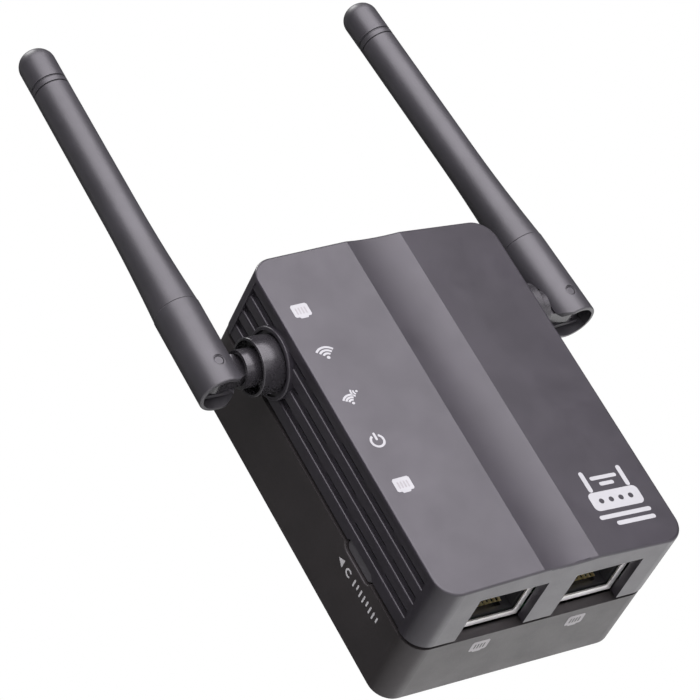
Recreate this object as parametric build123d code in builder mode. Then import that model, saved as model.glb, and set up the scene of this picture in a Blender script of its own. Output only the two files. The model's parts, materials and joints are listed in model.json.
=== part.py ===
from build123d import *
from math import sqrt
import os

# Plug-in wifi range extender with two folding antennas and two network sockets.
# Frame: millimetres. The origin is midway between the two plug blades on the back face, which rests on the
# wall plate. +X is to the right seen from the room, +Y goes into the wall and +Z is up.

os.makedirs("parts", exist_ok=True)

# Case
case_width = 54.4
case_height = 76.5
case_depth = 33.3
corner_radius = 4.6
side_wall = 1.8
face_wall = 2.0
half_width = case_width / 2
half_height = case_height / 2
face_y = -case_depth
crest_rise = 1.3
crest_x = 6.0
groove_dip = 0.38
face_edge_fillet = 0.5
front_rim_y = -17.3

# Rear cover
rear_inset = 0.1
rear_shoulder_y = -16.35
rear_wall = 2.0
rear_corner_radius = 4.5
rear_edge_fillet = 1.0
lip_gap = 0.15
lip_wall = 1.2
lip_height = 2.6

# Louvred side panels
panel_recess = 0.25
panel_front_y = face_y + 0.9
panel_bottom_z = -33.1
panel_top_z = 34.2
slot_width = 1.9
slot_depth = 0.8
slot_rounding = 0.4
slot_pitch = 4.25
slot_middle_y = -25.3
slit_width = 0.8
slit_length = 8.6
slit_pitch = 11.4
slit_count = 6

# Antenna swivels, measured outwards from the middle of the case
swivel_y = -24.0
swivel_z = 21.9
plinth_radius = 6.9
plinth_face_x = 27.7
plinth_rim = 0.7
plinth_floor_x = 27.1
journal_radius = 3.5
running_gap = 0.06
journal_end_x = 24.0
clip_groove = (24.3, 24.9)
clip_radius = 4.5
clip_seat_radius = 3.0
drum_radius = 5.5
drum_start_x = 27.45
drum_rim_x = 32.0
drum_recess = 2.3
drum_wall = 0.5
neck_radius = 3.65
neck_end_x = 34.4
neck_cup_radius = 2.95
neck_cup_depth = 1.0
pivot_x = 39.75
tongue_thickness = 3.0
eye_radius = 3.1
coax_radius = 0.57
coax_bore_radius = 0.85

# Antennas, measured up from the hinge pin
barrel_radius = 4.58
barrel_bottom = -4.7
barrel_top = 14.65
barrel_wall = 0.75
barrel_pocket_top = -1.5
heel_radius = 5.0
fork_slot = 3.6
fork_top = 3.9
rib_thickness = 0.8
rib_setback = 1.6
pin_radius = 1.0
pin_half_length = 4.35
spigot_radius = 3.2
spigot_top = 20.0
sleeve_base_radius = 4.50
sleeve_waist_radius = 3.75
sleeve_waist_z = 38.0
sleeve_tip_radius = 3.68
sleeve_top = 70.55
sleeve_bore_radius = 3.0
tip_groove_z = 69.3
groove_width = 0.36
groove_depth = 0.26
cap_top = 79.2
cap_shoulder = 3.1
cap_spigot_length = 5.0
radiator_bottom = 26.0
radiator_radius = 2.2
feed_top = 47.0

# The right antenna rests a little off upright
right_swivel_lean = 1.0
right_fold_lean = -4.1

# Network sockets
socket_x = (-10.3, 11.0)
socket_width = 14.8
socket_front_z = -36.1
socket_depth = 16.0
socket_top_y = -29.1
socket_port_gap = 0.1
socket_port_top_y = -29.75
shield_sheet = 0.3
shield_mouth_width = 12.1
mouth_top_y = -26.0
mouth_bottom_y = -18.8
latch_width = 6.6
latch_top_y = -28.5
cavity_width = 11.9
cavity_depth = 12.0
contact_pitch = 1.016
contact_count = 8
contact_width = 0.45
contact_thickness = 0.35
contact_nose_depth = 4.2
contact_nose_rise = 0.7

# Boards
board_thickness = 1.6
board_front_y = -17.3
board_back_y = board_front_y + board_thickness
board_half_width = 23.6
board_half_height = 34.7
power_board_front_y = -5.8
power_board_back_y = power_board_front_y + board_thickness
power_board_half_width = 18.5
power_board_bottom = -24.0
power_board_top = 26.0

standoff_spacing = (32.0, 44.0)
standoff_middle_z = 1.0
standoff_radius = 1.6
board_corner_radius = 1.5

# Components on the main board: spans to the right and up, and how far each stands towards the room
wifi_chip_x = (-5.0, 5.0)
wifi_chip_z = (-7.0, 3.0)
wifi_chip_height = 0.9
heat_sink_x = (-7.5, 7.5)
heat_sink_z = (-9.5, 5.5)
heat_sink_base = 1.5
heat_sink_height = 6.0
fin_thickness = 0.9
fin_pitch = 2.3
fin_count = 7
memory_chip_x = (12.0, 20.0)
memory_chip_z = (-9.0, -2.0)
memory_chip_height = 1.2
shield_can_x = (-7.0, 7.0)
shield_can_z = (17.0, 31.0)
shield_can_height = 2.2
shield_can_sheet = 0.3
isolator_half_width = 6.0
isolator_z = (-19.4, -12.4)
isolator_height = 5.2
lamp_half_width = 0.9
lamp_half_height = 0.7
lamp_depth = 0.8
coax_plug_x = 11.0
coax_plug_z = 6.2
coax_plug_radius = 1.5
coax_plug_height = 1.9

# Components on the power board
core_x = (-1.0, 13.0)
core_z = (-14.0, -2.0)
core_height = 8.8
core_foot = 0.4
coil_x = (1.6, 10.4)
coil_sides_z = ((-11.4, -10.2), (-5.8, -4.6))
coil_height = 9.2
mains_capacitor_x = (-12.6, -3.6)
mains_capacitor_z = 7.0
mains_capacitor_radius = 4.0
mains_capacitor_length = 13.0
output_capacitor_x = -10.5
output_capacitor_z = -12.0
output_capacitor_radius = 3.15
output_capacitor_length = 11.0
rectifier_x = (6.5, 15.5)
rectifier_z = (15.5, 22.5)
rectifier_height = 2.6
filter_coil_x = 11.5
filter_coil_z = 2.2
filter_coil_radius = 3.0
filter_coil_length = 10.0
filter_coil_flange = 1.2
filter_coil_neck = 2.4
fuse_resistor_x = 3.8
fuse_resistor_z = 6.0
fuse_resistor_radius = 1.6
fuse_resistor_length = 9.0
controller_x = (6.0, 11.0)
controller_z = (-22.0, -18.0)
controller_height = 1.5
can_gap = 0.1
header_x = -10.0
header_z = -20.5
header_size = (10.2, 2.6, 2.5)
header_pins = 4
header_pitch = 2.54
header_pin = 0.64

# Screws that hold the case together
screw_x = 22.3
screw_z = 31.5
post_radius = 2.4
rear_post_radius = 3.3
screw_head_radius = 2.0
screw_head_height = 1.6
screw_seat_y = -6.0
screw_shank_radius = 1.1
screw_length = 18.0
screw_clearance = 0.15
screw_pilot_radius = 1.12

# Plug
blade_spacing = 12.7
blade_thickness = 1.5
blade_width = 6.35
blade_length = 16.5
blade_hole_radius = 1.6
blade_hole_y = 11.7
insert_width = 24.0
insert_height = 14.0
insert_recess = 0.2
insert_gap = 0.1
insert_flange = 1.6
insert_back_y = -4.0

# Reset button, on the left side at the seam
button_z = -18.1
button_length = 9.0
button_top_y = -17.95
button_bottom_y = -15.45
button_gap = 0.25
notch_rounding = 0.35
button_face_x = -26.5
button_flange_x = -24.3
button_flange_end_x = -23.6
button_nose_x = -22.8
switch_axis_y = -13.9
plunger_radius = 1.0
switch_face_x = -21.9
switch_size = 4.4
switch_bottom_y = -12.2

# Indicator lights, at the left of the face
lamp_x = -22.2
lamp_z = (25.5, 15.9, 5.8, -4.4, -14.3)
guide_size = 2.2
guide_front_y = -31.4
guide_back_y = -18.4
guide_rail_y = -20.4


def save(piece, name):
    """Labels a finished piece and writes it as its own file."""
    piece.label = name
    export_step(piece, f"parts/{name}.step")


def block(low, high):
    """Adds the box between two corners to the current part."""
    middle = tuple((a + b) / 2 for a, b in zip(low, high))
    size = [b - a for a, b in zip(low, high)]
    with Locations(middle):
        Box(*size)


def cut_block(low, high):
    """Cuts the box between two corners out of the current part."""
    middle = tuple((a + b) / 2 for a, b in zip(low, high))
    size = [b - a for a, b in zip(low, high)]
    with Locations(middle):
        Box(*size, mode=Mode.SUBTRACT)


def stand_on(board_y, x_span, z_span, height):
    """Adds a box that stands on the room side of a board."""
    block((x_span[0], board_y - height, z_span[0]), (x_span[1], board_y, z_span[1]))


def upright_can(x, z, radius, length):
    """Adds a round component that lies upright on the power board, with its lower end at height z."""
    with BuildSketch(Plane(origin=(x, power_board_front_y - radius - can_gap, z))) as can_end:
        Circle(radius)
    extrude(can_end.sketch, amount=length)


def back_plane(y):
    """A drawing plane parallel to the wall, facing the room, at depth y."""
    return Plane.XZ.offset(-y)


def face_outline(setback):
    """The cover's crowned outline, seen from above, moved back from the face by setback."""
    edge = face_y + setback
    crest = edge - crest_rise
    with BuildSketch(Plane.XY) as outline:
        with BuildLine():
            Polyline(
                (-crest_x, crest),
                (-half_width, edge),
                (-half_width, front_rim_y),
                (half_width, front_rim_y),
                (half_width, edge),
                (crest_x, crest),
            )
            ThreePointArc((crest_x, crest), (0, crest + groove_dip), (-crest_x, crest))
        make_face()
    return outline.sketch


button_middle_y = (button_top_y + button_bottom_y) / 2


def button_plane(x):
    """A drawing plane on the left side at distance x, centred on the reset button."""
    return Plane(origin=(x, button_middle_y, button_z), x_dir=(0, 0, 1), z_dir=(-1, 0, 0))


def slot_profile(side):
    """Three louvre slots seen from above, each with a rounded edge on the wall side."""
    mouth = side * (half_width - panel_recess)
    outside = side * half_width
    floor = side * (half_width - panel_recess - slot_depth)
    turn = side * slot_rounding
    arc_sag = 1 - sqrt(0.5)
    with BuildSketch(Plane.XY.offset(panel_bottom_z)) as profile:
        for order in (-1, 0, 1):
            front = slot_middle_y + order * slot_pitch - slot_width / 2
            back = front + slot_width
            corner = (mouth - turn * arc_sag, back + slot_rounding * arc_sag)
            with BuildLine():
                Polyline(
                    (mouth, back + slot_rounding),
                    (outside, back + slot_rounding),
                    (outside, front),
                    (floor, front),
                    (floor, back),
                    (mouth - turn, back),
                )
                ThreePointArc((mouth - turn, back), corner, (mouth, back + slot_rounding))
            make_face()
    return profile.sketch


# Front cover ------------------------------------------------------------------------------------------

with BuildPart() as cover_cavity:
    with BuildSketch(back_plane(front_rim_y)):
        RectangleRounded(case_width - 2 * side_wall, case_height - 2 * side_wall, corner_radius - side_wall)
    extrude(amount=case_depth)
    extrude(face_outline(face_wall), amount=half_height, both=True, mode=Mode.INTERSECT)

with BuildPart() as front_cover:
    with BuildSketch(back_plane(front_rim_y)):
        RectangleRounded(case_width, case_height, corner_radius)
    extrude(amount=case_depth)
    extrude(face_outline(0), amount=half_height, both=True, mode=Mode.INTERSECT)
    face_edges = front_cover.edges().filter_by_position(Axis.Y, face_y - crest_rise - 0.1, face_y + 0.1)
    crest_lines = face_edges.filter_by(Axis.Z).filter_by_position(Axis.X, -crest_x - 0.1, crest_x + 0.1)
    fillet(face_edges - crest_lines, face_edge_fillet)
    add(cover_cavity.part, mode=Mode.SUBTRACT)

    # sunk louvre panels with three long slots, open to the inside in short slits between bridges
    panel_height = panel_top_z - panel_bottom_z
    panel_middle_z = (panel_top_z + panel_bottom_z) / 2
    for side in (-1, 1):
        panel_x = side * (half_width - panel_recess / 2)
        panel_y = (panel_front_y + front_rim_y) / 2
        with Locations((panel_x, panel_y, panel_middle_z)):
            Box(panel_recess, front_rim_y - panel_front_y, panel_height, mode=Mode.SUBTRACT)
        extrude(slot_profile(side), amount=panel_height, mode=Mode.SUBTRACT)
        slit_plane = Plane(
            origin=(side * half_width, slot_middle_y, panel_middle_z), x_dir=(0, 1, 0), z_dir=(side, 0, 0)
        )
        with BuildSketch(slit_plane):
            with GridLocations(slot_pitch, slit_pitch, 3, slit_count):
                SlotOverall(slit_length, slit_width, rotation=90)
        extrude(amount=-side_wall, mode=Mode.SUBTRACT)

    # round plinths that carry the antenna swivels
    for side in (-1, 1):
        swivel_plane = Plane(origin=(side * (half_width - side_wall), swivel_y, swivel_z), z_dir=(side, 0, 0))
        with BuildSketch(swivel_plane):
            Circle(plinth_radius)
        extrude(amount=plinth_face_x - half_width + side_wall)
    plinth_rims = front_cover.edges().filter_by(GeomType.CIRCLE).filter_by(
        lambda rim: abs(abs(rim.center().X) - plinth_face_x) < 0.01
    )
    fillet(plinth_rims, 0.3)
    for side in (-1, 1):
        bore_plane = Plane(origin=(side * (half_width - side_wall - 1), swivel_y, swivel_z), z_dir=(side, 0, 0))
        with BuildSketch(bore_plane):
            Circle(journal_radius + running_gap)
        extrude(amount=side_wall + 3, mode=Mode.SUBTRACT)
        dish_plane = Plane(origin=(side * plinth_floor_x, swivel_y, swivel_z), z_dir=(side, 0, 0))
        with BuildSketch(dish_plane):
            Circle(plinth_radius - plinth_rim)
        extrude(amount=2, mode=Mode.SUBTRACT)

    # notches in the lower wall for the two network sockets
    for x in socket_x:
        reach = socket_width / 2 + socket_port_gap
        cut_block(
            (x - reach, socket_port_top_y, -half_height - 1),
            (x + reach, front_rim_y + 1, -half_height + side_wall + 0.5),
        )

    # round-ended notch for the reset button in the rim of the left wall
    with BuildSketch(button_plane(-half_width)):
        SlotOverall(button_length + 2 * button_gap, button_bottom_y - button_top_y + 2 * button_gap)
    extrude(amount=-4, mode=Mode.SUBTRACT)

    # posts for the case screws
    with BuildSketch(back_plane(front_rim_y)):
        with GridLocations(2 * screw_x, 2 * screw_z, 2, 2):
            Circle(post_radius)
    extrude(amount=15.2)
    with BuildSketch(back_plane(front_rim_y)):
        with GridLocations(2 * screw_x, 2 * screw_z, 2, 2):
            Circle(screw_pilot_radius)
    extrude(amount=10, mode=Mode.SUBTRACT)

save(front_cover.part, "front_cover")


# Rear cover -------------------------------------------------------------------------------------------

rear_half_width = half_width - rear_inset
rear_half_height = half_height - rear_inset
lip_half_width = half_width - side_wall - lip_gap
lip_half_height = half_height - side_wall - lip_gap

with BuildPart() as rear_cover:
    with BuildSketch(back_plane(0)):
        RectangleRounded(2 * rear_half_width, 2 * rear_half_height, rear_corner_radius)
    extrude(amount=-rear_shoulder_y)
    fillet(rear_cover.faces().sort_by(Axis.Y)[-1].edges(), rear_edge_fillet)

    # lip that slides inside the front cover
    with BuildSketch(back_plane(rear_shoulder_y)):
        RectangleRounded(2 * lip_half_width, 2 * lip_half_height, corner_radius - side_wall - lip_gap)
    extrude(amount=lip_height)

    # hollow inside
    with BuildSketch(back_plane(-rear_wall)):
        RectangleRounded(
            2 * (rear_half_width - rear_wall),
            2 * (rear_half_height - rear_wall),
            rear_corner_radius - rear_wall,
        )
    extrude(amount=-rear_shoulder_y - rear_wall, mode=Mode.SUBTRACT)
    with BuildSketch(back_plane(rear_shoulder_y)):
        RectangleRounded(2 * (lip_half_width - lip_wall), 2 * (lip_half_height - lip_wall), 1.9)
    extrude(amount=lip_height + 1, mode=Mode.SUBTRACT)

    # the lip stops short of the network sockets and of the reset button
    cut_block((-19.0, rear_shoulder_y - lip_height - 1, -half_height), (19.8, rear_shoulder_y, -33.0))
    cut_block(
        (-half_width, rear_shoulder_y - lip_height - 1, button_z - 6.2),
        (-21.0, rear_shoulder_y, button_z + 6.2),
    )

    # the lip gives way to the front cover's posts
    with BuildSketch(back_plane(rear_shoulder_y)):
        with GridLocations(2 * screw_x, 2 * screw_z, 2, 2):
            Circle(post_radius + 2 * lip_gap)
    extrude(amount=lip_height + 1, mode=Mode.SUBTRACT)

    # round-ended notch for the reset button in the front edge of the left wall
    with BuildSketch(button_plane(-half_width)):
        SlotOverall(button_length + 2 * button_gap, button_bottom_y - button_top_y + 2 * button_gap)
    extrude(amount=-4, mode=Mode.SUBTRACT)
    notch_rim = (
        rear_cover.edges()
        .filter_by_position(Axis.X, -rear_half_width - 0.01, -rear_half_width + 0.01)
        .filter_by_position(Axis.Y, rear_shoulder_y + 0.01, button_bottom_y + button_gap + 0.01)
        .filter_by_position(Axis.Z, button_z - button_length, button_z + button_length)
    )
    fillet(notch_rim, notch_rounding)

    # screw posts, with deep counterbores from the back
    with BuildSketch(back_plane(board_back_y)):
        with GridLocations(2 * screw_x, 2 * screw_z, 2, 2):
            Circle(rear_post_radius)
    extrude(amount=board_back_y + rear_wall / 2)
    with BuildSketch(back_plane(1)):
        with GridLocations(2 * screw_x, 2 * screw_z, 2, 2):
            Circle(screw_head_radius + 2 * screw_clearance)
    extrude(amount=1 - screw_seat_y, mode=Mode.SUBTRACT)
    with BuildSketch(back_plane(0)):
        with GridLocations(2 * screw_x, 2 * screw_z, 2, 2):
            Circle(screw_shank_radius + screw_clearance)
    extrude(amount=case_depth, mode=Mode.SUBTRACT)

    # standoffs under the power board
    with BuildSketch(back_plane(-rear_wall / 2)):
        with Locations((0, standoff_middle_z)):
            with GridLocations(*standoff_spacing, 2, 2):
                Circle(standoff_radius)
    extrude(amount=-power_board_back_y - rear_wall / 2)

    # opening for the plug insert
    with BuildSketch(back_plane(1)):
        RectangleRounded(insert_width + 2 * insert_gap, insert_height + 2 * insert_gap, 3.1)
    extrude(amount=rear_wall + 2, mode=Mode.SUBTRACT)

save(rear_cover.part, "rear_cover")

with BuildPart() as case_screw:
    with BuildSketch(back_plane(screw_seat_y)):
        Circle(screw_shank_radius)
    extrude(amount=screw_length)
    chamfer(case_screw.faces().sort_by(Axis.Y)[0].edges(), 0.7)
    with BuildSketch(back_plane(screw_seat_y + screw_head_height)):
        Circle(screw_head_radius)
    extrude(amount=screw_head_height)
    fillet(case_screw.faces().sort_by(Axis.Y)[-1].edges(), 0.6)
    with BuildSketch(back_plane(screw_seat_y + screw_head_height)):
        Rectangle(2.3, 0.5)
        Rectangle(0.5, 2.3)
    extrude(amount=0.9, mode=Mode.SUBTRACT)

with BuildPart() as case_screws:
    for x in (-screw_x, screw_x):
        for z in (-screw_z, screw_z):
            add(case_screw.part.moved(Location((x, 0, z))))

save(case_screws.part, "case_screws")


# Plug -------------------------------------------------------------------------------------------------

with BuildPart() as plug_insert:
    with BuildSketch(back_plane(-insert_recess)):
        RectangleRounded(insert_width, insert_height, 3.0)
    extrude(amount=-insert_back_y - insert_recess)
    with BuildSketch(back_plane(-rear_wall - 0.1)):
        RectangleRounded(insert_width + 2 * insert_flange, insert_height + 2 * insert_flange, 3.5)
    extrude(amount=-insert_back_y - rear_wall - 0.1)
    with BuildSketch(back_plane(0)):
        with GridLocations(blade_spacing, 0, 2, 1):
            Rectangle(blade_thickness, blade_width)
    extrude(amount=10, mode=Mode.SUBTRACT)

save(plug_insert.part, "plug_insert")

for side, x in (("left", -blade_spacing / 2), ("right", blade_spacing / 2)):
    with BuildPart() as blade:
        block(
            (x - blade_thickness / 2, power_board_back_y, -blade_width / 2),
            (x + blade_thickness / 2, blade_length, blade_width / 2),
        )
        tip = blade.faces().sort_by(Axis.Y)[-1]
        chamfer(tip.edges().filter_by(Axis.Z), 0.45)
        shoulders = blade.edges().filter_by(Axis.X).sort_by(Axis.Y)[-2:]
        fillet(shoulders, 1.2)
        with BuildSketch(Plane(origin=(x - 2, blade_hole_y, 0), z_dir=(1, 0, 0))):
            Circle(blade_hole_radius)
        extrude(amount=4, mode=Mode.SUBTRACT)
    save(blade.part, f"plug_blade_{side}")


# Main board and what stands on its room side ----------------------------------------------------------

with BuildPart() as main_board:
    with BuildSketch(back_plane(board_back_y)):
        RectangleRounded(2 * board_half_width, 2 * board_half_height, board_corner_radius)
        with GridLocations(2 * screw_x, 2 * screw_z, 2, 2):
            Circle(screw_shank_radius + screw_clearance, mode=Mode.SUBTRACT)
        with Locations((-board_half_width, button_z)):
            RectangleRounded(2.6, 12.6, 0.6, mode=Mode.SUBTRACT)
    extrude(amount=board_thickness)

save(main_board.part, "main_board")

with BuildPart() as wifi_chip:
    stand_on(board_front_y, wifi_chip_x, wifi_chip_z, wifi_chip_height)
    chamfer(wifi_chip.edges().filter_by(Axis.Y), 0.4)

save(wifi_chip.part, "wifi_chip")

sink_base_y = board_front_y - wifi_chip_height
fin_height = heat_sink_height - heat_sink_base + 0.1
with BuildPart() as heat_sink:
    stand_on(sink_base_y, heat_sink_x, heat_sink_z, heat_sink_base)
    with Locations((0, sink_base_y - heat_sink_height + fin_height / 2, sum(heat_sink_z) / 2)):
        with GridLocations(fin_pitch, 0, fin_count, 1):
            Box(fin_thickness, fin_height, heat_sink_z[1] - heat_sink_z[0])

save(heat_sink.part, "heat_sink")

with BuildPart() as memory_chip:
    stand_on(board_front_y, memory_chip_x, memory_chip_z, memory_chip_height)
    chamfer(memory_chip.edges().filter_by(Axis.Y), 0.3)

save(memory_chip.part, "memory_chip")

with BuildPart() as shield_can:
    stand_on(board_front_y, shield_can_x, shield_can_z, shield_can_height)
    fillet(shield_can.edges().filter_by(Axis.Y), 0.8)
    fillet(shield_can.faces().sort_by(Axis.Y)[0].edges(), 0.4)
    cut_block(
        (shield_can_x[0] + shield_can_sheet, board_front_y - shield_can_height + shield_can_sheet,
         shield_can_z[0] + shield_can_sheet),
        (shield_can_x[1] - shield_can_sheet, board_front_y, shield_can_z[1] - shield_can_sheet),
    )

save(shield_can.part, "radio_shield_can")

with BuildPart() as network_transformers:
    for x in socket_x:
        stand_on(board_front_y, (x - isolator_half_width, x + isolator_half_width), isolator_z, isolator_height)
    fillet(network_transformers.faces().sort_by(Axis.Y)[:2].edges(), 0.5)

save(network_transformers.part, "network_transformers")

with BuildPart() as indicator_lamps:
    for z in lamp_z:
        lamp_span = (lamp_x - lamp_half_width, lamp_x + lamp_half_width)
        stand_on(board_front_y, lamp_span, (z - lamp_half_height, z + lamp_half_height), lamp_depth)

save(indicator_lamps.part, "indicator_lamps")

with BuildPart() as light_guide:
    for z in lamp_z:
        block(
            (lamp_x - guide_size / 2, guide_front_y, z - guide_size / 2),
            (lamp_x + guide_size / 2, guide_back_y, z + guide_size / 2),
        )
    block((lamp_x - 0.7, guide_rail_y, lamp_z[-1]), (lamp_x + 0.7, guide_back_y, lamp_z[0]))

save(light_guide.part, "light_guide")

with BuildPart() as coax_plugs:
    with BuildSketch(back_plane(board_front_y)):
        with Locations((-coax_plug_x, coax_plug_z), (coax_plug_x, coax_plug_z)):
            Circle(coax_plug_radius)
    extrude(amount=coax_plug_height)

save(coax_plugs.part, "coax_plugs")


# Network sockets --------------------------------------------------------------------------------------

def make_socket(x):
    """The metal shield, plastic housing and row of contacts of the network socket centred on x."""
    back_z = socket_front_z + socket_depth
    outer = socket_width / 2
    with BuildPart() as shield:
        block((x - outer, socket_top_y, socket_front_z), (x + outer, board_front_y, back_z))
        fillet(shield.edges().filter_by(Axis.Z).sort_by(Axis.Y)[:2], 0.5)
        cut_block(
            (x - outer + shield_sheet, socket_top_y + shield_sheet, socket_front_z + shield_sheet),
            (x + outer - shield_sheet, board_front_y + 1, back_z - shield_sheet),
        )
        cut_block(
            (x - shield_mouth_width / 2, mouth_top_y, socket_front_z - 1),
            (x + shield_mouth_width / 2, mouth_bottom_y, socket_front_z + 1),
        )
        cut_block(
            (x - latch_width / 2, latch_top_y, socket_front_z - 1),
            (x + latch_width / 2, mouth_top_y, socket_front_z + 1),
        )

    housing_front = socket_front_z + shield_sheet + 0.5
    cavity_back = socket_front_z + cavity_depth
    with BuildPart() as housing:
        block(
            (x - outer + shield_sheet, socket_top_y + shield_sheet, housing_front),
            (x + outer - shield_sheet, board_front_y, back_z - shield_sheet),
        )
        cut_block(
            (x - cavity_width / 2, mouth_top_y + 0.2, socket_front_z),
            (x + cavity_width / 2, mouth_bottom_y - 0.2, cavity_back),
        )
        cut_block(
            (x - latch_width / 2 + 0.2, latch_top_y + 0.2, socket_front_z),
            (x + latch_width / 2 - 0.2, mouth_top_y + 0.2, cavity_back - 1.5),
        )
        comb_half = contact_pitch * contact_count / 2
        cut_block(
            (x - comb_half, mouth_bottom_y - 0.3, housing_front + 0.8),
            (x + comb_half, board_front_y - 0.5, cavity_back),
        )

    # each contact spring rises from the floor near the mouth, slopes back into the cavity and ends in a nose
    bend = (mouth_bottom_y - 1.3, housing_front + 1.0)
    nose = (mouth_bottom_y - 1.8, cavity_back - contact_nose_depth)
    tip = (nose[0] - contact_nose_rise, nose[1] + contact_nose_rise / 2)
    with BuildPart() as contacts:
        with BuildSketch(Plane(origin=(x - contact_width / 2, 0, 0), x_dir=(0, 1, 0), z_dir=(1, 0, 0))):
            with BuildLine():
                Polyline(
                    (board_front_y - 0.5, bend[1] + 1.2),
                    bend,
                    nose,
                    tip,
                    (tip[0], tip[1] + contact_thickness),
                    (nose[0] + contact_thickness, nose[1] + contact_thickness),
                    (bend[0] + contact_thickness, bend[1] + contact_thickness),
                    (board_front_y - 0.5, bend[1] + 1.2 + contact_thickness),
                    close=True,
                )
            make_face()
        extrude(amount=contact_width)
    row = Compound(
        children=[
            contacts.part.moved(Location(((n - (contact_count - 1) / 2) * contact_pitch, 0, 0)))
            for n in range(contact_count)
        ]
    )
    return shield.part, housing.part, row


for side, x in zip(("left", "right"), socket_x):
    shield_part, housing_part, contact_row = make_socket(x)
    save(shield_part, f"socket_shield_{side}")
    save(housing_part, f"socket_housing_{side}")
    save(contact_row, f"socket_contacts_{side}")


# Reset button and its switch --------------------------------------------------------------------------

with BuildPart() as reset_button:
    with BuildSketch(button_plane(button_face_x)):
        SlotOverall(button_length, button_bottom_y - button_top_y)
    extrude(amount=button_face_x - button_flange_x)
    fillet(reset_button.faces().sort_by(Axis.X)[0].edges(), 0.25)
    block(
        (button_flange_x, button_top_y - 0.1, button_z - 5.6),
        (button_flange_end_x, switch_axis_y + 1.2, button_z + 5.6),
    )
    with BuildSketch(Plane(origin=(button_flange_end_x, switch_axis_y, button_z), z_dir=(1, 0, 0))):
        Circle(1.1)
    extrude(amount=button_nose_x - button_flange_end_x)

save(reset_button.part, "reset_button")

with BuildPart() as switch_plunger:
    with BuildSketch(Plane(origin=(button_nose_x, switch_axis_y, button_z), z_dir=(1, 0, 0))):
        Circle(plunger_radius)
    extrude(amount=2.4)

save(switch_plunger.part, "switch_plunger")

with BuildPart() as switch_body:
    block(
        (switch_face_x, board_back_y, button_z - switch_size / 2),
        (switch_face_x + switch_size, switch_bottom_y, button_z + switch_size / 2),
    )
    with BuildSketch(Plane(origin=(switch_face_x, switch_axis_y, button_z), z_dir=(1, 0, 0))):
        Circle(plunger_radius + running_gap)
    extrude(amount=2.6, mode=Mode.SUBTRACT)

save(switch_body.part, "switch_body")


# Power board and its components, facing the room ------------------------------------------------------

power_board_height = power_board_top - power_board_bottom
with BuildPart() as power_board:
    with BuildSketch(back_plane(power_board_back_y)):
        with Locations((0, (power_board_top + power_board_bottom) / 2)):
            RectangleRounded(2 * power_board_half_width, power_board_height, board_corner_radius)
    extrude(amount=board_thickness)

save(power_board.part, "power_board")

with BuildPart() as transformer_core:
    core_front_y = power_board_front_y - core_height
    block((core_x[0], core_front_y, core_z[0]), (core_x[1], power_board_front_y - core_foot, core_z[1]))
    for side_z in coil_sides_z:
        cut_block((coil_x[0], core_front_y - 1, side_z[0]), (coil_x[1], power_board_back_y, side_z[1]))

save(transformer_core.part, "transformer_core")

with BuildPart() as transformer_coil:
    for side_z in coil_sides_z:
        stand_on(power_board_front_y, coil_x, side_z, coil_height)

save(transformer_coil.part, "transformer_coil")

with BuildPart() as mains_capacitors:
    for x in mains_capacitor_x:
        upright_can(x, mains_capacitor_z, mains_capacitor_radius, mains_capacitor_length)
    fillet(mains_capacitors.edges().filter_by(GeomType.CIRCLE), 0.7)

save(mains_capacitors.part, "mains_capacitors")

with BuildPart() as output_capacitor:
    upright_can(output_capacitor_x, output_capacitor_z, output_capacitor_radius, output_capacitor_length)
    fillet(output_capacitor.edges().filter_by(GeomType.CIRCLE), 0.6)

save(output_capacitor.part, "output_capacitor")

with BuildPart() as rectifier:
    stand_on(power_board_front_y, rectifier_x, rectifier_z, rectifier_height)
    chamfer(rectifier.edges().filter_by(Axis.Y).sort_by(Axis.Z)[-1:], 1.2)

save(rectifier.part, "rectifier")

with BuildPart() as filter_coil:
    upright_can(filter_coil_x, filter_coil_z, filter_coil_radius, filter_coil_length)
    coil_y = power_board_front_y - filter_coil_radius - can_gap
    with BuildSketch(Plane(origin=(filter_coil_x, coil_y, filter_coil_z + filter_coil_flange))):
        Circle(filter_coil_radius + 0.2)
        Circle(filter_coil_neck, mode=Mode.SUBTRACT)
    extrude(amount=filter_coil_length - 2 * filter_coil_flange, mode=Mode.SUBTRACT)

save(filter_coil.part, "filter_coil_core")

with BuildPart() as fuse_resistor:
    upright_can(fuse_resistor_x, fuse_resistor_z, fuse_resistor_radius, fuse_resistor_length)
    fillet(fuse_resistor.edges().filter_by(GeomType.CIRCLE), 0.7)

save(fuse_resistor.part, "fuse_resistor")

with BuildPart() as power_controller:
    stand_on(power_board_front_y, controller_x, controller_z, controller_height)

save(power_controller.part, "power_controller")

with BuildPart() as board_link:
    with Locations((header_x, power_board_front_y - header_size[1] / 2, header_z)):
        Box(*header_size)
    with Locations((header_x, (power_board_front_y + board_back_y) / 2, header_z)):
        with GridLocations(header_pitch, 0, header_pins, 1):
            Box(header_pin, power_board_front_y - board_back_y, header_pin)

save(board_link.part, "board_link_header")


# Antennas ---------------------------------------------------------------------------------------------
# The right-hand pieces are made upright. The left-hand ones are their mirror images.

swivel_axis = Axis((0, swivel_y, swivel_z), (1, 0, 0))
fold_axis = Axis((pivot_x, swivel_y, swivel_z), (0, 1, 0))


def on_swivel(x):
    """A plane across the swivel axis at distance x from the middle, facing outwards."""
    return Plane(origin=(x, swivel_y, swivel_z), x_dir=(0, 1, 0), z_dir=(1, 0, 0))


def on_antenna(height):
    """A level plane across the upright antenna at a height above the hinge pin."""
    return Plane(origin=(pivot_x, swivel_y, swivel_z + height))


def along_antenna():
    """An upright plane through the antenna's axis, whose own origin is the hinge pin."""
    return Plane(origin=(pivot_x, swivel_y, swivel_z), x_dir=(1, 0, 0), z_dir=(0, -1, 0))


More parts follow.
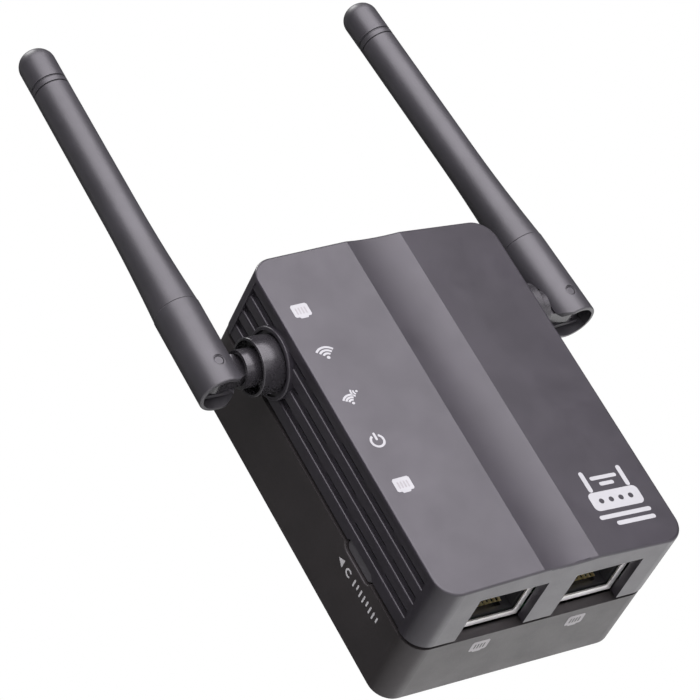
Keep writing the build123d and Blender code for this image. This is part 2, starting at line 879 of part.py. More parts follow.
def add_disc(plane, radius, length, mode=Mode.ADD):
    """Adds or cuts a round bar that starts on a plane."""
    with BuildSketch(plane) as disc:
        Circle(radius)
    extrude(disc.sketch, amount=length, mode=mode)


with BuildPart() as swivel_collar:
    add_disc(on_swivel(journal_end_x), journal_radius, drum_start_x - journal_end_x)
    groove_length = clip_groove[1] - clip_groove[0]
    with BuildSketch(on_swivel(clip_groove[0])):
        Circle(journal_radius + 1)
        Circle(clip_seat_radius, mode=Mode.SUBTRACT)
    extrude(amount=groove_length, mode=Mode.SUBTRACT)
    add_disc(on_swivel(drum_start_x), drum_radius, drum_rim_x - drum_start_x)
    with BuildSketch(on_swivel(drum_rim_x)):
        Circle(drum_radius - drum_wall)
    extrude(amount=-drum_recess, mode=Mode.SUBTRACT)
    drum_edges = swivel_collar.edges().filter_by(GeomType.CIRCLE).group_by(Axis.X)[-1]
    fillet(drum_edges.sort_by(SortBy.RADIUS)[-1:], 0.2)
    add_disc(on_swivel(drum_rim_x - drum_recess), neck_radius, neck_end_x - drum_rim_x + drum_recess)
    with BuildSketch(on_swivel(neck_end_x)):
        Circle(neck_cup_radius)
    extrude(amount=-neck_cup_depth, mode=Mode.SUBTRACT)
    add_disc(on_swivel(journal_end_x), coax_bore_radius, neck_end_x - journal_end_x, Mode.SUBTRACT)

    # flat tongue that reaches into the antenna's fork and ends in the hinge eye
    with BuildSketch(along_antenna().offset(-tongue_thickness / 2)):
        Circle(eye_radius)
        with BuildLine():
            root_x = neck_end_x - neck_cup_depth - pivot_x
            Polyline(
                (0, eye_radius),
                (root_x, 2.4),
                (root_x, -2.4),
                (0, -eye_radius),
                close=True,
            )
        make_face()
    extrude(amount=tongue_thickness)
    with BuildSketch(along_antenna().offset(-tongue_thickness)):
        Circle(pin_radius + running_gap)
    extrude(amount=2 * tongue_thickness, mode=Mode.SUBTRACT)

    # channel for the coaxial lead on the wall side of the tongue
    cut_block(
        (neck_end_x - neck_cup_depth - 0.2, swivel_y, swivel_z - coax_bore_radius),
        (pivot_x - 2.0, swivel_y + tongue_thickness, swivel_z + coax_bore_radius),
    )
    # stop rib in the drum's recess
    block(
        (drum_rim_x - drum_recess, swivel_y - 0.9, swivel_z - drum_radius + drum_wall / 2),
        (drum_rim_x - 0.7, swivel_y + 0.9, swivel_z - neck_radius + 0.2),
    )

with BuildPart() as swivel_clip:
    with BuildSketch(on_swivel(clip_groove[0] + 0.05)):
        Circle(clip_radius)
        Circle(clip_seat_radius, mode=Mode.SUBTRACT)
        with Locations((0, clip_radius)):
            Rectangle(4.4, 2 * clip_radius, mode=Mode.SUBTRACT)
    extrude(amount=groove_length - 0.1)

with BuildPart() as barrel:
    add_disc(on_antenna(barrel_bottom), barrel_radius, barrel_top - barrel_bottom)
    chamfer(barrel.faces().sort_by(Axis.Z)[-1].edges(), 0.12)
    fillet(barrel.faces().sort_by(Axis.Z)[0].edges(), 0.35)
    add_disc(on_antenna(barrel_top), spigot_radius - 0.25, spigot_top - barrel_top)

    # fork for the tongue, open towards the case and downwards
    cut_block(
        (pivot_x - 2 * barrel_radius, swivel_y - fork_slot / 2, swivel_z + barrel_bottom - 1),
        (pivot_x + eye_radius + 0.4, swivel_y + fork_slot / 2, swivel_z + fork_top),
    )

    # hollow underside, with two set-back ribs beside the fork
    add_disc(on_antenna(barrel_bottom), barrel_radius - barrel_wall, rib_setback, Mode.SUBTRACT)
    with BuildSketch(on_antenna(barrel_bottom + rib_setback)):
        Circle(barrel_radius - barrel_wall)
        for rib in (-1, 1):
            with Locations((0, rib * (fork_slot + rib_thickness) / 2)):
                Rectangle(3 * barrel_radius, rib_thickness, mode=Mode.SUBTRACT)
    extrude(amount=barrel_pocket_top - barrel_bottom - rib_setback, mode=Mode.SUBTRACT)

    # the lower edge on the case side is rounded about the hinge pin, so that it passes the swivel's neck
    with BuildSketch(along_antenna().offset(-2 * barrel_radius)):
        with BuildLine():
            Line((-heel_radius, 0), (-3 * heel_radius, 0))
            Polyline((-3 * heel_radius, 0), (-3 * heel_radius, -3 * heel_radius), (0, -3 * heel_radius))
            Line((0, -3 * heel_radius), (0, -heel_radius))
            CenterArc((0, 0), heel_radius, 180, 90)
        make_face()
    extrude(amount=4 * barrel_radius, mode=Mode.SUBTRACT)

    # pin bore, and the duct for the coaxial lead
    with BuildSketch(along_antenna().offset(-pin_half_length)):
        Circle(pin_radius)
    extrude(amount=2 * pin_half_length, mode=Mode.SUBTRACT)
    for face_side in (-1, 1):
        with BuildSketch(along_antenna().offset(face_side * pin_half_length)):
            Circle(pin_radius + 0.2)
        extrude(amount=face_side * 1.0, mode=Mode.SUBTRACT)
    add_disc(on_antenna(0), coax_bore_radius, spigot_top + 1, Mode.SUBTRACT)

with BuildPart() as hinge_pin:
    with BuildSketch(along_antenna().offset(-pin_half_length)):
        Circle(pin_radius)
    extrude(amount=2 * pin_half_length)
    fillet(hinge_pin.edges().filter_by(GeomType.CIRCLE), 0.3)

with BuildPart() as sleeve:
    with BuildSketch(along_antenna()):
        with BuildLine():
            Line((sleeve_bore_radius, sleeve_top), (sleeve_tip_radius - 0.15, sleeve_top))
            Line((sleeve_tip_radius - 0.15, sleeve_top), (sleeve_tip_radius, sleeve_top - 0.15))
            Line((sleeve_tip_radius, sleeve_top - 0.15), (sleeve_waist_radius, sleeve_waist_z))
            Spline(
                (sleeve_waist_radius, sleeve_waist_z),
                (sleeve_base_radius, barrel_top + 0.12),
                tangents=[(0.002, -1), (0.055, -1)],
            )
            Line((sleeve_base_radius, barrel_top + 0.12), (sleeve_base_radius - 0.12, barrel_top))
            Line((sleeve_base_radius - 0.12, barrel_top), (sleeve_bore_radius, barrel_top))
            Line((sleeve_bore_radius, barrel_top), (sleeve_bore_radius, sleeve_top))
        make_face()
    revolve(axis=Axis((pivot_x, swivel_y, 0), (0, 0, 1)))
    with BuildSketch(on_antenna(tip_groove_z - groove_width / 2)):
        Circle(sleeve_tip_radius + 1)
        Circle(sleeve_tip_radius - groove_depth, mode=Mode.SUBTRACT)
    extrude(amount=groove_width, mode=Mode.SUBTRACT)

with BuildPart() as tip_cap:
    add_disc(on_antenna(sleeve_top + groove_width), sleeve_tip_radius, cap_top - sleeve_top - groove_width)
    fillet(tip_cap.faces().sort_by(Axis.Z)[-1].edges(), cap_shoulder)
    add_disc(on_antenna(sleeve_top), sleeve_tip_radius - groove_depth, groove_width)
    add_disc(on_antenna(sleeve_top - cap_spigot_length), sleeve_bore_radius - 0.05, cap_spigot_length)

with BuildPart() as radiator:
    add_disc(on_antenna(radiator_bottom), radiator_radius, feed_top - radiator_bottom + 1)
    add_disc(on_antenna(radiator_bottom), coax_radius, feed_top - radiator_bottom, Mode.SUBTRACT)
    add_disc(on_antenna(feed_top), 0.45, 16.0)

with BuildPart() as feed_lead:
    add_disc(on_antenna(fork_top + 0.4), coax_radius, feed_top - fork_top - 0.4)

antenna_pieces = {
    "antenna_barrel": barrel.part,
    "antenna_sleeve": sleeve.part,
    "antenna_tip_cap": tip_cap.part,
    "antenna_hinge_pin": hinge_pin.part,
    "antenna_radiator": radiator.part,
    "antenna_feed_lead": feed_lead.part,
}
swivel_pieces = {"swivel_collar": swivel_collar.part, "swivel_clip": swivel_clip.part}

for name, piece in antenna_pieces.items():
    save(mirror(piece, about=Plane.YZ), f"{name}_left")
    leaning = piece.rotate(fold_axis, right_fold_lean).rotate(swivel_axis, right_swivel_lean)
    save(leaning, f"{name}_right")

for name, piece in swivel_pieces.items():
    save(mirror(piece, about=Plane.YZ), f"{name}_left")
    save(piece.rotate(swivel_axis, right_swivel_lean), f"{name}_right")


# Coaxial leads from the board plugs out through the swivels -------------------------------------------

lead_radii = [9.0, 6.0]
with BuildPart() as coax_lead:
    with BuildLine() as lead_path:
        FilletPolyline(
            (neck_end_x - neck_cup_depth - 0.4, swivel_y, swivel_z),
            (18.5, swivel_y, swivel_z),
            (11.0, board_front_y - 1.3, 16.5),
            (11.0, board_front_y - 1.3, 8.0),
            radius=lead_radii,
        )
    with BuildSketch(Plane(origin=lead_path.line @ 0, z_dir=lead_path.line % 0)):
        Circle(coax_radius)
    sweep()

print("coaxial lead bend radii, mm:", lead_radii, "and its length, mm:", round(lead_path.wires()[0].length, 1))
save(coax_lead.part, "coax_lead_right")
save(mirror(coax_lead.part, about=Plane.YZ), "coax_lead_left")
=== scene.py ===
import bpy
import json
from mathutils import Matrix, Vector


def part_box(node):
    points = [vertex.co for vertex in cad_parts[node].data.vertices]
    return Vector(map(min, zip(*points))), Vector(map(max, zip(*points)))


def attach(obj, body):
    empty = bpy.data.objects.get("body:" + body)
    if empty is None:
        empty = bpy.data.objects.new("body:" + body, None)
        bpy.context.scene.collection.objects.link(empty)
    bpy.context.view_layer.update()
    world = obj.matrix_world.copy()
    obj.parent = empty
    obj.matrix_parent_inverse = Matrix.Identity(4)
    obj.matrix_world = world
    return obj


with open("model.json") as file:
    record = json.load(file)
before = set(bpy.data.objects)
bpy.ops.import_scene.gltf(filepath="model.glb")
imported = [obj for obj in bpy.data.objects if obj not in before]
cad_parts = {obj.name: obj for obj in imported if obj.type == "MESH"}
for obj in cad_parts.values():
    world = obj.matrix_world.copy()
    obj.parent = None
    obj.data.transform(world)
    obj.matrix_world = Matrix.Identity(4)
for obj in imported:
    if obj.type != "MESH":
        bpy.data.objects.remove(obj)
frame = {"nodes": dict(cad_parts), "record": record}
"""Looks for the plug-in wifi range extender: finishes, printed marks, light and camera.

Lengths are in millimetres, and in metres where a comment says so. Blender takes all of them in metres.
"""

import json
import math

import bmesh
import bpy
from mathutils import Matrix, Vector

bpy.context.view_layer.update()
nodes = frame["nodes"]
MM = 0.001


# Materials --------------------------------------------------------------------------------------------

# How many features of each kind of unevenness there are to the millimetre
tones_per_mm = 0.09
smudges_per_mm = 0.16
worn_patches_per_mm = 0.8
worn_edge_radius = 0.35


def new_material(name):
    """An empty node material and its main shader."""
    material = bpy.data.materials.new(name)
    material.use_nodes = True
    shader = material.node_tree.nodes["Principled BSDF"]
    return material, material.node_tree, shader


def noise(tree, coords, per_mm, detail=3.0, roughness=0.55):
    """Noise with so many features to the millimetre."""
    texture = tree.nodes.new("ShaderNodeTexNoise")
    texture.inputs["Scale"].default_value = per_mm / MM
    texture.inputs["Detail"].default_value = detail
    texture.inputs["Roughness"].default_value = roughness
    tree.links.new(coords, texture.inputs["Vector"])
    return texture.outputs["Fac"]


def remap(tree, value, low, high, new_low, new_high):
    """Maps one range of values onto another, without going past it."""
    node = tree.nodes.new("ShaderNodeMapRange")
    for socket, number in zip(node.inputs[1:5], (low, high, new_low, new_high)):
        socket.default_value = number
    tree.links.new(value, node.inputs[0])
    return node.outputs[0]


def edge_mask(tree, radius):
    """1 on outer and inner edges that a finger would round off, 0 on open faces."""
    bevel = tree.nodes.new("ShaderNodeBevel")
    bevel.samples = 4
    bevel.inputs["Radius"].default_value = radius * MM
    geometry = tree.nodes.new("ShaderNodeNewGeometry")
    dot = tree.nodes.new("ShaderNodeVectorMath")
    dot.operation = "DOT_PRODUCT"
    tree.links.new(bevel.outputs["Normal"], dot.inputs[0])
    tree.links.new(geometry.outputs["Normal"], dot.inputs[1])
    return remap(tree, dot.outputs["Value"], 0.98, 0.80, 0.0, 1.0)


def mix_colour(tree, factor, first, second):
    """Blends two colours or colour sockets by a value."""
    node = tree.nodes.new("ShaderNodeMix")
    node.data_type = "RGBA"
    tree.links.new(factor, node.inputs[0])
    for socket, colour in ((node.inputs[6], first), (node.inputs[7], second)):
        if isinstance(colour, tuple):
            socket.default_value = (*colour, 1.0)
        else:
            tree.links.new(colour, socket)
    return node.outputs[2]


def finish_material(
    name, colour, rough, metallic=0.0, grain=4.0, grain_depth=0.004, rough_spread=0.08,
    stretch=(1, 1, 1), worn=None, wear=0.35, blotch=0.12, specular=0.5, coat=0.0, coat_rough=0.1,
):
    """A moulded, drawn or plated surface.

    It has grain in relief, uneven roughness, faint blotches and worn edges.
    """
    material, tree, shader = new_material(name)
    coordinates = tree.nodes.new("ShaderNodeTexCoord").outputs["Object"]
    scaled = tree.nodes.new("ShaderNodeVectorMath")
    scaled.operation = "MULTIPLY"
    scaled.inputs[1].default_value = stretch
    tree.links.new(coordinates, scaled.inputs[0])
    along = scaled.outputs["Vector"]

    darker = tuple(c * (1 - blotch) for c in colour)
    lighter = tuple(min(1, c * (1 + blotch)) for c in colour)
    broad = remap(tree, noise(tree, coordinates, tones_per_mm, 4.0), 0.35, 0.65, 0.0, 1.0)
    base = mix_colour(tree, broad, darker, lighter)
    edges = edge_mask(tree, worn_edge_radius)
    patchy = remap(tree, noise(tree, coordinates, worn_patches_per_mm, 4.0), 0.42, 0.62, 0.0, wear)
    worn_amount = tree.nodes.new("ShaderNodeMath")
    worn_amount.operation = "MULTIPLY"
    tree.links.new(edges, worn_amount.inputs[0])
    tree.links.new(patchy, worn_amount.inputs[1])
    worn_colour = worn or tuple(min(1, c * 1.8 + 0.01) for c in colour)
    base = mix_colour(tree, worn_amount.outputs[0], base, worn_colour)
    tree.links.new(base, shader.inputs["Base Color"])

    fine = noise(tree, along, grain, 2.0)
    smudges = noise(tree, coordinates, smudges_per_mm, 5.0, 0.65)
    blend = tree.nodes.new("ShaderNodeMath")
    blend.operation = "MULTIPLY_ADD"
    blend.inputs[1].default_value = 0.4
    tree.links.new(fine, blend.inputs[0])
    tree.links.new(smudges, blend.inputs[2])
    smoothest = max(0.02, rough - rough_spread)
    roughness = remap(tree, blend.outputs[0], 0.45, 0.95, smoothest, rough + rough_spread)
    tree.links.new(roughness, shader.inputs["Roughness"])

    bump = tree.nodes.new("ShaderNodeBump")
    bump.inputs["Distance"].default_value = grain_depth * MM
    bump.inputs["Strength"].default_value = 1.0
    tree.links.new(fine, bump.inputs["Height"])
    tree.links.new(bump.outputs["Normal"], shader.inputs["Normal"])

    shader.inputs["Metallic"].default_value = metallic
    shader.inputs["Specular IOR Level"].default_value = specular
    shader.inputs["Coat Weight"].default_value = coat
    shader.inputs["Coat Roughness"].default_value = coat_rough
    return material


finishes = {
    "front_cover_plastic": finish_material(
        "front cover plastic", (0.020, 0.018, 0.022), 0.36, grain=3.0, grain_depth=0.003, rough_spread=0.06,
    ),
    "rear_cover_plastic": finish_material(
        "rear cover plastic", (0.024, 0.0215, 0.0215), 0.45, grain=2.6, grain_depth=0.008, rough_spread=0.05,
        specular=0.36,
    ),
    "antenna_plastic": finish_material(
        "antenna plastic", (0.026, 0.025, 0.028), 0.46, grain=3.2, grain_depth=0.006, rough_spread=0.04,
        specular=0.68,
    ),
    "swivel_plastic": finish_material(
        "swivel plastic", (0.018, 0.017, 0.019), 0.27, grain=3.2, grain_depth=0.001, rough_spread=0.015,
        specular=0.62,
    ),
    "button_plastic": finish_material(
        "button plastic", (0.060, 0.058, 0.062), 0.32, grain=3.2, grain_depth=0.003, rough_spread=0.04,
    ),
    "insert_plastic": finish_material(
        "insert plastic", (0.025, 0.025, 0.026), 0.5, grain=2.2, grain_depth=0.008,
    ),
    "socket_plastic": finish_material(
        "socket plastic", (0.018, 0.018, 0.019), 0.5, grain=2.4, grain_depth=0.008,
    ),
    "blade_metal": finish_material(
        "plated blade", (0.80, 0.77, 0.70), 0.24, metallic=1.0, grain=3.0, grain_depth=0.002,
        stretch=(1, 0.06, 1), worn=(0.78, 0.62, 0.32), wear=0.5, blotch=0.05,
    ),
    "steel": finish_material(
        "zinc steel", (0.60, 0.60, 0.61), 0.34, metallic=1.0, grain=4.0, grain_depth=0.003, blotch=0.08,
        worn=(0.75, 0.75, 0.76),
    ),
    "pin_metal": finish_material(
        "black finished pin", (0.035, 0.034, 0.037), 0.36, grain=4.0, grain_depth=0.003,
        worn=(0.12, 0.12, 0.12),
    ),
    "shield_metal": finish_material(
        "bright tinned sheet", (0.94, 0.93, 0.91), 0.46, metallic=1.0, grain=2.0, grain_depth=0.0006,
        blotch=0.04,
    ),
    "gold_contact": finish_material(
        "gold contact", (1.0, 0.82, 0.45), 0.45, metallic=1.0, grain=5.0, grain_depth=0.001, blotch=0.04,
    ),
    "radiator_metal": finish_material(
        "drawn brass", (0.72, 0.53, 0.24), 0.3, metallic=1.0, grain=4.0, grain_depth=0.002,
        stretch=(1, 1, 0.05),
    ),
    "heat_sink": finish_material(
        "extruded aluminium", (0.74, 0.75, 0.77), 0.36, metallic=1.0, grain=4.0, grain_depth=0.004,
        stretch=(1, 1, 0.05),
    ),
    "board": finish_material(
        "solder mask", (0.012, 0.085, 0.035), 0.38, grain=1.2, grain_depth=0.012, blotch=0.25,
        worn=(0.25, 0.22, 0.08), coat=0.5, coat_rough=0.2,
    ),
    "chip": finish_material("chip package", (0.022, 0.022, 0.024), 0.55, grain=5.0, grain_depth=0.006),
    "lamp": finish_material(
        "lamp package", (0.80, 0.80, 0.72), 0.25, grain=3.0, grain_depth=0.002, blotch=0.03,
    ),
    "ferrite": finish_material("ferrite", (0.045, 0.045, 0.048), 0.5, grain=3.0, grain_depth=0.012),
    "coil_tape": finish_material(
        "coil tape", (0.72, 0.50, 0.05), 0.4, grain=1.0, grain_depth=0.01, blotch=0.08,
    ),
    "capacitor_sleeve": finish_material(
        "capacitor sleeve", (0.020, 0.035, 0.10), 0.3, grain=1.5, grain_depth=0.006, worn=(0.3, 0.3, 0.32),
    ),
    "fuse_coat": finish_material("fuse lacquer", (0.10, 0.22, 0.13), 0.3, grain=2.0, grain_depth=0.008),
    "coax_jacket": finish_material("coax jacket", (0.025, 0.025, 0.026), 0.42, grain=2.5, grain_depth=0.004),
    "clear_plastic": finish_material(
        "clear light guide", (0.86, 0.89, 0.90), 0.18, grain=2.0, grain_depth=0.002, rough_spread=0.05,
        blotch=0.02,
    ),
}
clear_shader = finishes["clear_plastic"].node_tree.nodes["Principled BSDF"]
clear_shader.inputs["Transmission Weight"].default_value = 0.85
clear_shader.inputs["IOR"].default_value = 1.49

print_white = finish_material(
    "white print", (0.28, 0.285, 0.285), 0.55, grain=6.0, grain_depth=0.002, blotch=0.04, wear=0.1,
)
print_side = finish_material(
    "side print", (0.42, 0.42, 0.42), 0.5, grain=6.0, grain_depth=0.002, blotch=0.05, wear=0.1,
)
print_grey = finish_material(
    "grey print", (0.22, 0.215, 0.215), 0.6, grain=6.0, grain_depth=0.002, blotch=0.05, wear=0.1,
)
label_paper = finish_material(
    "silver label", (0.40, 0.40, 0.41), 0.42, grain=5.0, grain_depth=0.002, blotch=0.03, wear=0.1,
)

slot_of = {entry["node"]: entry["material_slot"] for entry in frame["record"]["subparts"]}
for name, node in nodes.items():
    node.data.materials.clear()
    node.data.materials.append(finishes[slot_of[name]])


# Printed marks ----------------------------------------------------------------------------------------

# The face has two flat plates that rise from its side edges to two crest lines beside the middle groove.
# Printed marks stand on a surface by their ink's thickness, and reach a little way below it.
crest_x = 6.0
crest_rise = 1.3
half_width = 27.2
crest_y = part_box("front_cover")[0][1] / MM
rear_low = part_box("rear_cover")[0]
rear_left_x = rear_low[0] / MM
rear_lowest_z = rear_low[2] / MM
ink_thickness = 0.03
overprint_thickness = 0.05
buried = 0.02


def on_face(x, z, lift):
    """A point over one of the two flat plates of the face."""
    slope = crest_rise / (half_width - crest_x)
    return (x, crest_y + (abs(x) - crest_x) * slope - lift, z)


def under_rear(x, y, lift):
    """A point under the rear cover's lower wall, with y counted forwards from its back face."""
    return (x, -y, rear_lowest_z - lift)


def beside_rear(y, z, lift):
    """A point beside the rear cover's left wall."""
    return (rear_left_x - lift, y, z)


def behind_rear(x, z, lift):
    """A point behind the rear cover's back wall."""
    return (-x, lift, z)


def arc_points(centre, radius, start, end, count=32):
    """Points along an arc, in degrees, anticlockwise from the first axis."""
    angles = [math.radians(start + (end - start) * i / (count - 1)) for i in range(count)]
    return [(centre[0] + radius * math.cos(a), centre[1] + radius * math.sin(a)) for a in angles]


def arc_band(centre, radius, width, start, end):
    """A curved band with square ends, as a row of four-sided shapes."""
    outer = arc_points(centre, radius + width / 2, start, end)
    inner = arc_points(centre, radius - width / 2, start, end)
    return [(outer[i], outer[i + 1], inner[i + 1], inner[i]) for i in range(len(outer) - 1)]


def bar(start, end, width):
    """A straight band with rounded ends."""
    a, b = Vector(start), Vector(end)
    angle = math.degrees(math.atan2(b.y - a.y, b.x - a.x))
    outline = arc_points(a, width / 2, angle + 90, angle + 270, 10)
    outline += arc_points(b, width / 2, angle - 90, angle + 90, 10)
    return [tuple(outline)]


def rounded_box(centre, size, radius):
    """The outline of a rectangle with rounded corners."""
    outline = []
    for sx, sy, start in ((1, 1, 0), (-1, 1, 90), (-1, -1, 180), (1, -1, 270)):
        corner = (centre[0] + sx * (size[0] / 2 - radius), centre[1] + sy * (size[1] / 2 - radius))
        outline += arc_points(corner, radius, start, start + 90, 8)
    return outline


def disc(centre, radius):
    """A filled circle."""
    return [tuple(arc_points(centre, radius, 0, 345, 24))]


def print_mark(name, shapes, place, material, body="case", thickness=ink_thickness):
    """Prints flat shapes, each a list of points, as one thin raised piece on a surface."""
    mesh_maker = bmesh.new()
    for shape in shapes:
        top = [mesh_maker.verts.new(Vector(place(u, v, thickness)) * MM) for u, v in shape]
        low = [mesh_maker.verts.new(Vector(place(u, v, -buried)) * MM) for u, v in shape]
        mesh_maker.faces.new(top)
        mesh_maker.faces.new(list(reversed(low)))
        for i in range(len(shape)):
            j = (i + 1) % len(shape)
            mesh_maker.faces.new((top[j], top[i], low[i], low[j]))
    bmesh.ops.remove_doubles(mesh_maker, verts=mesh_maker.verts, dist=1e-7)
    bmesh.ops.recalc_face_normals(mesh_maker, faces=mesh_maker.faces)
    mesh = bpy.data.meshes.new(name)
    mesh_maker.to_mesh(mesh)
    mesh_maker.free()
    mesh.materials.append(material)
    piece = bpy.data.objects.new(name, mesh)
    bpy.context.scene.collection.objects.link(piece)
    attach(piece, body)


def jack_outline(x, z, width, height):
    """The outline of a network socket, with its corners cut off and its latch tab below.

    The points are parts of the half width and half height, from the tab round the right side to the top.
    """
    right_side = [
        (0.42, -1.0), (0.54, -0.78), (0.86, -0.78), (1.0, -0.60), (1.0, 0.78), (0.82, 1.0),
    ]
    left_side = [(-u, v) for u, v in reversed(right_side)]
    return [(x + u * width / 2, z + v * height / 2) for u, v in right_side + left_side]


def jack_teeth(x, z, width, height):
    """Four contacts drawn inside the socket outline, as parts of its width and height."""
    pitch, stroke, foot, top = 0.17, 0.08, 0.15, 0.2
    shapes = []
    for n in range(4):
        across = x + (n - 1.5) * width * pitch
        shapes += bar((across, z - foot * height), (across, z + top * height), width * stroke)
    return shapes


# Five icons down the left of the face: socket, signal, link, power, socket
icon_x = -22.4
upper_socket_z, signal_z, link_z, power_z, lower_socket_z = 25.35, 15.6, 5.5, -4.55, -14.5
icon_size = (3.5, 3.2)
teeth_size = (3.7, 3.4)

for order, z in (("upper", upper_socket_z), ("lower", lower_socket_z)):
    print_mark(f"icon_socket_{order}", [jack_outline(icon_x, z, *icon_size)], on_face, print_white)
    teeth = jack_teeth(icon_x, z, *teeth_size)
    print_mark(f"icon_socket_{order}_contacts", teeth, on_face, print_grey, thickness=overprint_thickness)

signal_stroke = 0.43
waves = disc((icon_x, signal_z - 1.15), 0.34)
for radius in (0.95, 1.65, 2.35):
    waves += arc_band((icon_x, signal_z - 1.2), radius, signal_stroke, 42, 138)
print_mark("icon_signal", waves, on_face, print_white)

near, near_stroke = (icon_x - 0.35, link_z - 1.5), 0.40
far, far_stroke = (icon_x + 1.45, link_z + 0.75), 0.34
link = disc(near, 0.28) + disc(far, 0.24)
for radius in (0.75, 1.3, 1.85):
    link += arc_band(near, radius, near_stroke, 62, 150)
for radius in (0.65, 1.15):
    link += arc_band(far, radius, far_stroke, 150, 235)
print_mark("icon_link", link, on_face, print_white)

power_stroke = 0.46
power = arc_band((icon_x, power_z - 0.1), 1.25, power_stroke, -240, 60)
power += bar((icon_x, power_z + 0.25), (icon_x, power_z + 1.5), power_stroke)
print_mark("icon_power", power, on_face, print_white)

# A plain drawing of a box with two aerials at the lower right of the face, with two lines under it
mark_x, mark_z = 17.0, -27.3
mark_size = (11.6, 4.0)
mark_rounding = 1.1
aerial_x = 4.4
line_end_x = 5.6
dot_count, dot_pitch, dot_radius = 4, 2.3, 0.55

mark = [tuple(rounded_box((mark_x, mark_z), mark_size, mark_rounding))]
for side in (-1, 1):
    x = mark_x + side * aerial_x
    mark += bar((x, mark_z + 2.6), (x, mark_z + 6.2), 1.0)
for reach in (1.3, 2.7):
    mark += bar((mark_x - reach, mark_z + 2.2 + reach), (mark_x + reach, mark_z + 2.2 + reach), 0.8)
mark += bar((mark_x - line_end_x, mark_z - 3.4), (mark_x + line_end_x, mark_z - 3.4), 0.9)
mark += bar((mark_x - 2.6, mark_z - 5.1), (mark_x + line_end_x, mark_z - 5.1), 0.9)
print_mark("front_pictogram", mark, on_face, print_white)

dots = []
for n in range(dot_count):
    dots += disc((mark_x + (n - 1.5) * dot_pitch, mark_z), dot_radius)
dot_finish = finishes["front_cover_plastic"]
print_mark("front_pictogram_dots", dots, on_face, dot_finish, thickness=overprint_thickness)

# A socket outline under each network socket
sign_y = 12.7
sign_size = (3.9, 3.3)
teeth_finish = finishes["rear_cover_plastic"]
for side, x in (("left", -10.3), ("right", 11.3)):
    print_mark(f"socket_sign_{side}", [jack_outline(x, sign_y, *sign_size)], under_rear, print_grey)
    teeth = jack_teeth(x, sign_y, *sign_size)
    print_mark(
        f"socket_sign_{side}_contacts", teeth, under_rear, teeth_finish, thickness=overprint_thickness,
    )

# Beside the reset button: a pointer, a turning arrow's ring and a row of ticks
sign_middle_y = -12.6
tick_top_z = -19.8
tick_pitch = 1.2
tick_count = 8
tick_half_length = 0.7
sign = [((sign_middle_y - 1.0, -15.6), (sign_middle_y + 1.0, -15.6), (sign_middle_y, -14.0))]
sign += arc_band((sign_middle_y, -17.6), 0.75, 0.36, -50, 230)
for n in range(tick_count):
    z = tick_top_z - tick_pitch * n
    shorter = 0.5 if n % 3 == 1 else 0.0
    sign += bar((sign_middle_y - tick_half_length, z), (sign_middle_y + tick_half_length - shorter, z), 0.4)
print_mark("button_sign", sign, beside_rear, print_side)

# A blank silver label on the back
label_middle = (0, -22.0)
label_size = (30.0, 14.0)
label = [tuple(rounded_box(label_middle, label_size, 1.2))]
print_mark("rating_plate", label, behind_rear, label_paper, thickness=0.02)


# Surroundings -----------------------------------------------------------------------------------------

def make_floor(height, reach, colour, rough):
    """A plain level floor, in metres."""
    mesh = bpy.data.meshes.new("floor")
    around = ((-1, -1), (1, -1), (1, 1), (-1, 1))
    corners = [(reach * x, reach * y, height) for x, y in around]
    mesh.from_pydata(corners, [], [(0, 1, 2, 3)])
    piece = bpy.data.objects.new("floor", mesh)
    bpy.context.scene.collection.objects.link(piece)
    material, _, shader = new_material("floor")
    shader.inputs["Base Color"].default_value = (*colour, 1)
    shader.inputs["Roughness"].default_value = rough
    mesh.materials.append(material)


make_floor(height=-0.6, reach=12.0, colour=(0.86, 0.86, 0.86), rough=0.8)

# The room is white to the camera and dim to the object, which the soft boxes light
room_strength = 0.07
background_strength = 1.0

world = bpy.data.worlds.new("studio")
bpy.context.scene.world = world
world.use_nodes = True
tree = world.node_tree
background = tree.nodes["Background"]
paths = tree.nodes.new("ShaderNodeLightPath")
room_light = tree.nodes.new("ShaderNodeMapRange")
room_light.inputs[3].default_value = room_strength
room_light.inputs[4].default_value = background_strength
tree.links.new(paths.outputs["Is Camera Ray"], room_light.inputs[0])
tree.links.new(room_light.outputs[0], background.inputs["Strength"])
background.inputs["Color"].default_value = (1, 1, 1, 1)


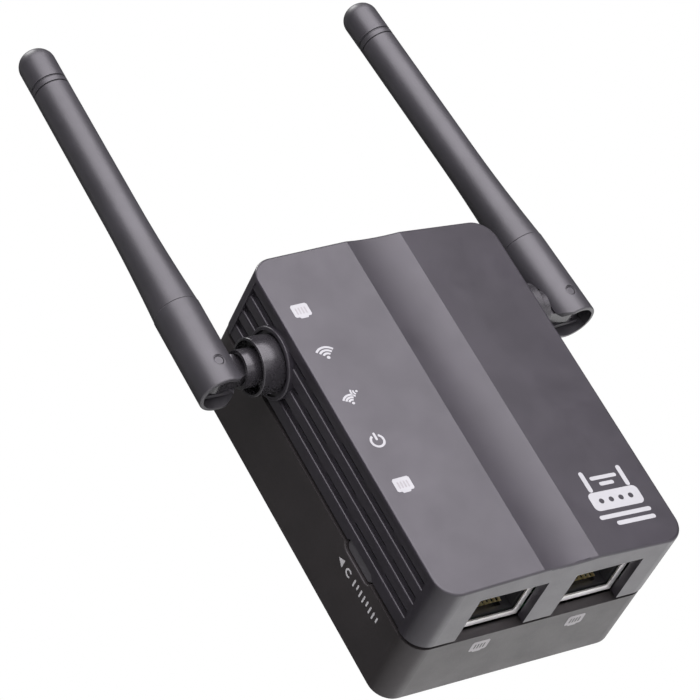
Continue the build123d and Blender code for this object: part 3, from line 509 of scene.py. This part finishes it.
def soft_light(name, towards, distance, width, height, power):
    """A soft box aimed at the object from a direction, in metres and watts."""
    lamp = bpy.data.lights.new(name, "AREA")
    lamp.shape = "RECTANGLE"
    lamp.size = width
    lamp.size_y = height
    lamp.energy = power
    holder = bpy.data.objects.new(name, lamp)
    direction = Vector(towards).normalized()
    holder.location = direction * distance
    holder.rotation_euler = (-direction).to_track_quat("-Z", "Y").to_euler()
    bpy.context.scene.collection.objects.link(holder)
    return holder


front_box = soft_light(
    "front_box", (-0.02, -0.965, 0.27), distance=1.0, width=1.5, height=1.5, power=35.0,
)
front_box.data.color = (1.0, 0.95, 1.03)
soft_light("lower_box", (0.72, 0.50, -0.55), distance=0.55, width=0.6, height=0.8, power=1.45)
soft_light("lower_left_box", (-0.05, 0.65, -0.72), distance=0.7, width=0.7, height=0.5, power=0.15)
soft_light("side_box", (-0.52, 0.55, 0.65), distance=1.0, width=0.4, height=0.4, power=0.18)

# A broad light from straight above keeps the floor pale
ceiling_light = bpy.data.lights.new("ceiling_light", "SUN")
ceiling_light.energy = 1.8
ceiling_light.angle = math.radians(25)
ceiling = bpy.data.objects.new("ceiling_light", ceiling_light)
bpy.context.scene.collection.objects.link(ceiling)

# The camera stands in front, to the left and low, and looks up at a point inside the object. Its heading
# is counted from straight ahead (+Y) towards +X, and its roll about its own line of sight, in degrees.
camera_aim = Vector((-4.68, -17.0, 25.79))
camera_distance = 585.6
camera_heading = 37.48
camera_climb = 27.07
camera_roll = -30.66

camera_data = bpy.data.cameras.new("camera")
camera_data.lens = 161.0
camera_data.sensor_width = 36.0
camera_data.sensor_fit = "HORIZONTAL"
camera_data.clip_start = 0.01
camera_data.clip_end = 20.0
camera = bpy.data.objects.new("camera", camera_data)
turn = Matrix.Rotation(math.radians(-camera_heading), 4, "Z")
turn @= Matrix.Rotation(math.radians(90 + camera_climb), 4, "X")
turn @= Matrix.Rotation(math.radians(camera_roll), 4, "Z")
camera_place = camera_aim + turn.to_3x3() @ Vector((0, 0, camera_distance))
camera.matrix_world = Matrix.Translation(camera_place * MM) @ turn
bpy.context.scene.collection.objects.link(camera)
bpy.context.scene.camera = camera

bpy.context.scene.view_settings.view_transform = "Standard"
bpy.context.scene.view_settings.look = "None"
